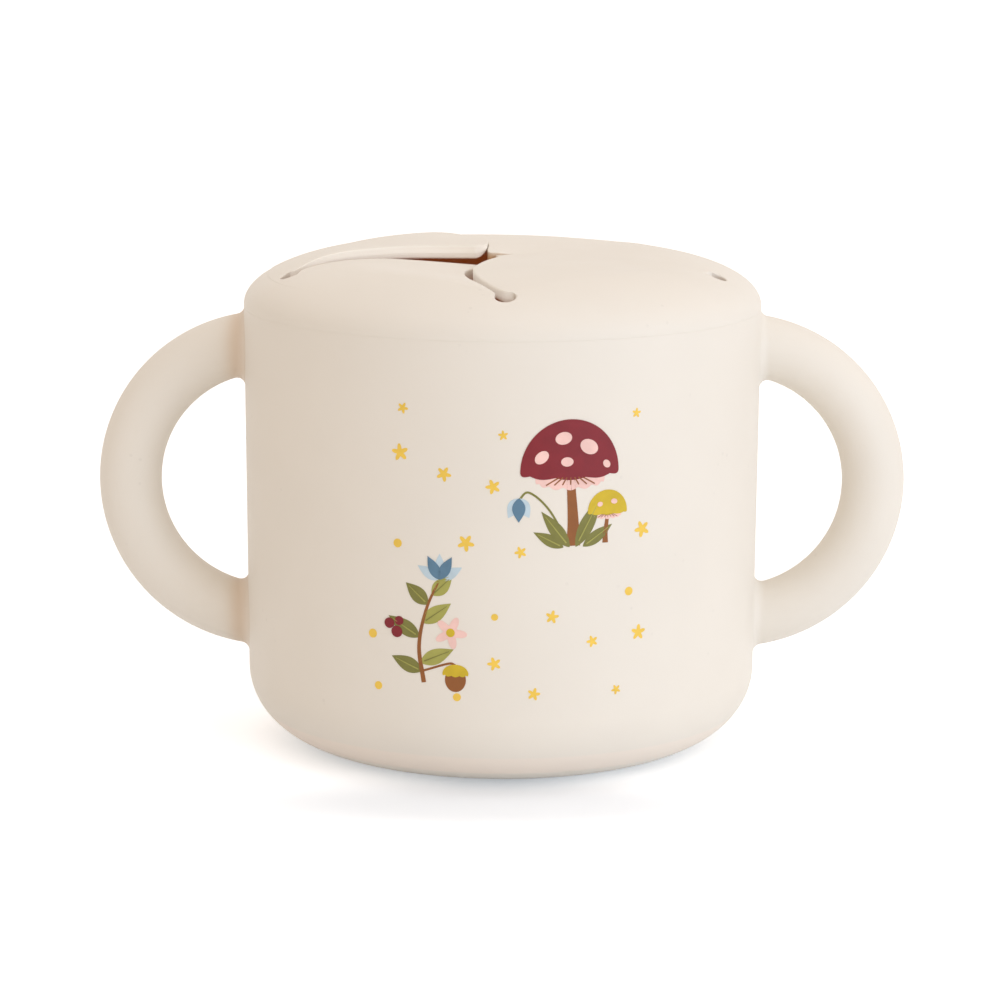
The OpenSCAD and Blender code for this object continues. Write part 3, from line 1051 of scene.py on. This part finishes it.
# One toadstool of size 1: the heights of its stem's bend and top, the widths at the stem's foot and top,
# the frill and the cap as (width, rise, drop, waves, depth), and the pleats
toadstoolShape = {
    "stem": (4.0, 11.0),
    "stemLean": 0.1,          # share of the lean at the stem's first bend
    "stemWidth": (2.3, 1.3),
    "frill": (11.4, 1.4, 1.5, 14, 0.5),
    "cap": (16.2, 8.4, 1.0, 10, 0.35),
    "brim": 1.0,
    "pleats": np.linspace(-4.2, 4.2, 7),
    "pleatPath": ((0.45, 0.1), (0.75, -0.6), (0.95, -1.1)),    # share of its x, height
    "pleatWidth": 0.2,
}
# The group: each leaf as place along the wall, length, width and turn, and each toadstool as place, size,
# lean and colour, with its spots as (x, z, two radii, turn)
toadstoolPlan = {
    "foot": (11.5, 41.5),     # along the wall and up
    "leaves": ((-0.6, 7.5, 2.2, 128), (0.4, 9.0, 2.4, 62), (-1.6, 5.5, 1.9, 152), (1.6, 6.0, 2.0, 34)),
    "leafDrop": 0.2,
    "stalk": ((-0.6, 0), (-4.0, 6.0), (-7.2, 8.8), (-8.8, 7.6)),
    "stalkWidth": 0.34,
    "bell": (-8.8, 7.9),
    "petalWidth": 2.1,
    "bellPetals": ((-118, "PaleBlue", 3.6), (-62, "PaleBlue", 3.6), (-90, "Blue", 3.9)),
    "small": ((5.4, 0.2), 0.42, 0.9, "Mustard", ((-3.2, 3.0, 1.1, 0.9, 15), (2.6, 3.8, 1.3, 1.0, -10))),
    "large": ((0, 0), 1.0, -0.5, "Burgundy",
              ((-4.7, 2.4, 1.25, 0.9, 40), (-1.2, 5.4, 1.35, 1.0, 10), (3.0, 3.9, 1.55, 1.15, -28),
               (-0.6, 1.6, 1.0, 0.75, 0), (6.0, 1.0, 0.7, 0.55, -50))),
}


def toadstool(at, size, lean, colour, spots):
    # Stem, pleated frill and spotted cap, drawn from the foot up
    s = toadstoolShape

    def cap(width, rise, drop, waves, depth):
        return scallopedCap(width * size, rise * size, drop * size, waves, depth * size)

    bend, height = s["stem"]
    top = at + np.array([lean, height]) * size
    path = curve([at, at + np.array([s["stemLean"] * lean, bend]) * size, top], 24)
    inkStroke("Brown", path, size * np.linspace(*s["stemWidth"], 24))
    inkPatch("Pink", placed(cap(*s["frill"]), top))
    for x in s["pleats"] * size:
        pleat = np.array([[share * x, z * size] for share, z in s["pleatPath"]])
        inkStroke("Brown", curve(pleat + top, 8), s["pleatWidth"] * size, layer=2)
    brim = top + np.array([0, s["brim"] * size])
    inkPatch(colour, placed(cap(*s["cap"]), brim), layer=2)
    for x, z, a, b, turn in spots:
        inkPatch("Pink", placed(ellipse(a * size, b * size), brim + np.array([x, z]) * size, turn), layer=3)


def drawToadstools(plan):
    foot = np.array(plan["foot"])
    for x, length, width, turn in plan["leaves"]:
        leafWithVein(foot + (x, -plan["leafDrop"]), length, width, turn, "Olive", "Moss")
    inkStroke("Olive", curve(foot + np.array(plan["stalk"]), 24), plan["stalkWidth"])
    drawPetals(foot + plan["bell"], plan["petalWidth"], plan["bellPetals"])
    for place, size, lean, colour, spots in (plan["small"], plan["large"]):
        toadstool(foot + place, size, lean, colour, spots)


sprigPlan = {
    "foot": (-12.5, 19.0),
    "twig": ((0, 0), (-0.8, 6.0), (0.4, 12.0), (2.6, 17.0)),
    "twigWidth": (0.75, 0.35),
    "leaves": ((0.12, 5.6, 158), (0.2, 6.0, 24), (0.42, 6.2, 150), (0.55, 5.8, 36), (0.74, 5.0, 138),
               (0.84, 4.6, 44)),    # share of the twig, length, turn
    "leafWidth": 2.5,
    "berries": ((-4.6, 8.0, 0.95, 2), (-5.9, 9.3, 0.85, 3), (-4.2, 9.8, 0.75, 2)),    # place, radius, layer
    "blossom": (4.4, 8.4),
    "blossomRadius": 2.7,
    "blossomPetals": 5,
    "blossomTurn": 12,
    "blossomHeart": 0.7,
    "petalWidth": 1.8,
    "petals": ((30, "PaleBlue", 4.2), (150, "PaleBlue", 4.2), (62, "Blue", 4.2), (118, "Blue", 4.2),
               (90, "PaleBlue", 4.2)),
    "nut": (5.2, 1.6),
    "nutFork": 4,             # point of the twig where its stalk leaves
    "nutStalk": ((-1.2, 1.7), (0, 1.5)),
    "nutStalkWidth": 0.35,
    "nutRadii": (1.7, 2.0),
    "nutDrop": 0.9,
    "nutCap": (4.2, 1.5, 0.35, 10, 0.2),
    "nutCapRise": 0.1,
}


def drawSprig(plan):
    foot = np.array(plan["foot"])
    twig = curve(foot + np.array(plan["twig"]), 40)
    inkStroke("Brown", twig, np.linspace(*plan["twigWidth"], len(twig)))
    for share, length, turn in plan["leaves"]:
        colours = ("Olive", "Moss") if turn > 90 else ("Moss", "Olive")
        leafWithVein(twig[int(share * (len(twig) - 1))], length, plan["leafWidth"], turn, *colours)
    for x, z, radius, layer in plan["berries"]:
        inkPatch("Burgundy", placed(ellipse(radius, radius), foot + (x, z)), layer=layer)
    flower = foot + plan["blossom"]
    shape = blossom(plan["blossomRadius"], plan["blossomPetals"])
    inkPatch("Pink", placed(shape, flower, plan["blossomTurn"]), layer=2)
    inkPatch("Mustard", placed(ellipse(plan["blossomHeart"], plan["blossomHeart"]), flower), layer=3)
    drawPetals(twig[-1], plan["petalWidth"], plan["petals"])
    nut = foot + plan["nut"]
    stalk = curve([twig[plan["nutFork"]], *(nut + np.array(plan["nutStalk"]))], 14)
    inkStroke("Brown", stalk, plan["nutStalkWidth"])
    inkPatch("Brown", placed(ellipse(*plan["nutRadii"]), nut + (0, -plan["nutDrop"])))
    inkPatch("Mustard", placed(scallopedCap(*plan["nutCap"]), nut + (0, plan["nutCapRise"])), layer=2)


scatterPlan = {
    "seed": 11,
    "tries": 900,
    "count": 21,
    "field": ((-23, 16), (24, 67)),
    "apart": 7.0,
    "size": (0.55, 1.45),
    "petals": 5,
    "leastBlossom": 0.8,      # what is smaller than this is a dot
    "keepOff": ((12.5, 52.0, 11.0, 13.5), (-11.5, 29.0, 10.0, 12.5)),   # middle and half sizes of each motif
}


def drawScatter(plan):
    # Places are drawn at random from a fixed seed, and kept where they lie clear of the motifs and each
    # other. Each then gets a size and a turn
    draw = np.random.default_rng(plan["seed"])
    kept = []

    def clear(p):
        off = all(((p[0] - a) / c) ** 2 + ((p[1] - b) / d) ** 2 > 1 for a, b, c, d in plan["keepOff"])
        return off and all(np.linalg.norm(p - q) > plan["apart"] for q in kept)

    for p in draw.uniform(*plan["field"], (plan["tries"], 2)):
        if len(kept) < plan["count"] and clear(p):
            kept.append(p)
    turns = 360 / plan["petals"]
    for p, share, turn in zip(kept, draw.uniform(0, 1, len(kept)), draw.uniform(0, turns, len(kept))):
        size = between(*plan["size"], share)
        shape = blossom(size, plan["petals"]) if size > plan["leastBlossom"] else ellipse(size, size, 24)
        inkPatch("Gold", placed(shape, p, turn))


def inkMaterial(name, colour, look):
    # Flat screen ink: slightly smoother than the silicone, with a faint uneven lay-down and pin dots
    material, tree = newMaterial(name)
    where = addNode(tree, "TexCoord", {}).outputs["Object"]
    tone = addNode(tree, "TexNoise", {"Scale": look["toneScale"], "Detail": 4, "Vector": where})
    ramp = addNode(tree, "ValToRGB", {"Fac": tone.outputs["Fac"]})
    for element, place, share in zip(ramp.color_ramp.elements, look["toneRange"], look["toneShares"]):
        element.position = place
        element.color = (*(min(1, c * share) for c in colour), 1)
    dots = addNode(tree, "TexNoise", {"Scale": look["dotScale"], "Detail": 2, "Vector": where})
    bump = addNode(tree, "Bump", {"Distance": look["dotHeight"], "Height": dots.outputs["Fac"]})
    rough, change = look["roughness"], look["roughnessChange"]
    satin = addNode(tree, "MapRange", {"Value": tone.outputs["Fac"],
                                       "To Min": rough - change, "To Max": rough + change})
    setInputs(tree.nodes["Principled BSDF"], {
        "Base Color": ramp.outputs["Color"],
        "Roughness": satin.outputs["Result"],
        "Normal": bump.outputs["Normal"],
        "Specular IOR Level": look["specular"],
    })
    return material


drawToadstools(toadstoolPlan)
drawSprig(sprigPlan)
drawScatter(scatterPlan)
for name, colour in inkColours.items():
    ink = inkMaterial("ink" + name, fromScreen(colour), printLook)
    patch = makePiece("print" + name, inkShells[name], ink)
    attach(patch, "cup")
print("print made")
